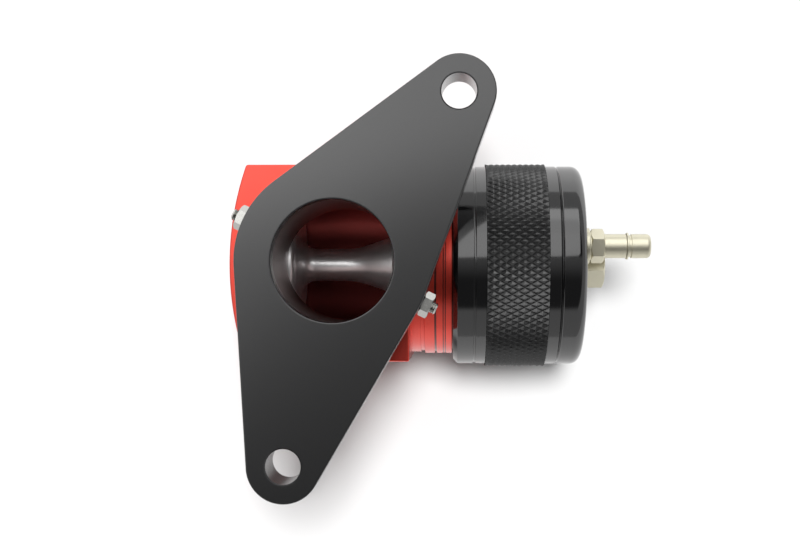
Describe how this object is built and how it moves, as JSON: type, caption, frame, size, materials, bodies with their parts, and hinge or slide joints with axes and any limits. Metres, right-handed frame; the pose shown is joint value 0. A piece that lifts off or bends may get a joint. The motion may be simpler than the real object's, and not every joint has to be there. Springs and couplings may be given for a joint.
{
  "type": "blow off valve",
  "caption": "Piston blow off valve: square body with threaded cap, hose nipple and hex plug, on a two-bolt flange adapter that clocks about the inlet port.",
  "frame": {"origin": "centre of the inlet port on the flange adapter's mounting face", "axes": "+Z out of the mounting face along the port's axis, +X along the valve from the discharge mouth to the cap and hose nipple"},
  "size_m": [0.1099, 0.1075, 0.0746],
  "materials": {
    "black_plate": "brushed, matte black anodised",
    "red_body": "satin red anodised",
    "black_cap": "gloss black anodised, knurled band",
    "bronze_spool": "hard anodised, fine turned",
    "plain_aluminium": "fine turned",
    "bush_bronze": "reamed",
    "zinc_steel": "bright zinc plated",
    "spring_steel": "oiled",
    "nickel_brass": "nickel plated",
    "seal_rubber": "matte",
    "slide_ring": "satin"
  },
  "bodies": {
    "flange": {"flange_adapter": "black_plate", "lock_screw_left": "zinc_steel", "lock_screw_right": "zinc_steel", "lock_nut_left": "zinc_steel", "lock_nut_right": "zinc_steel"},
    "valve": {"valve_body": "red_body", "adapter_oring": "seal_rubber", "seat_ring": "plain_aluminium", "seat_clip": "spring_steel", "guide_bush": "bush_bronze", "return_spring": "spring_steel", "spring_seat": "zinc_steel", "cap": "black_cap", "cap_oring": "seal_rubber", "hose_nipple": "nickel_brass", "nipple_washer": "nickel_brass", "end_plug": "nickel_brass", "plug_washer": "nickel_brass"},
    "piston": {"spool": "bronze_spool", "head_seal": "seal_rubber", "spool_ring": "slide_ring", "actuator_piston": "plain_aluminium", "actuator_ring": "slide_ring", "piston_washer": "zinc_steel", "piston_screw": "zinc_steel"}
  },
  "joints": [
    {"name": "adapter_clock", "type": "hinge", "parent": "flange", "child": "valve", "pos_m": [0, 0, 0], "axis": [0, 0, 1], "continuous": true},
    {"name": "piston_stroke", "type": "slide", "parent": "valve", "child": "piston", "axis": [1, 0, 0], "range_m": [0, 0.012], "stiffness_N_per_m": 1000, "springref_m": -0.014, "deforming": ["return_spring"]}
  ]
}
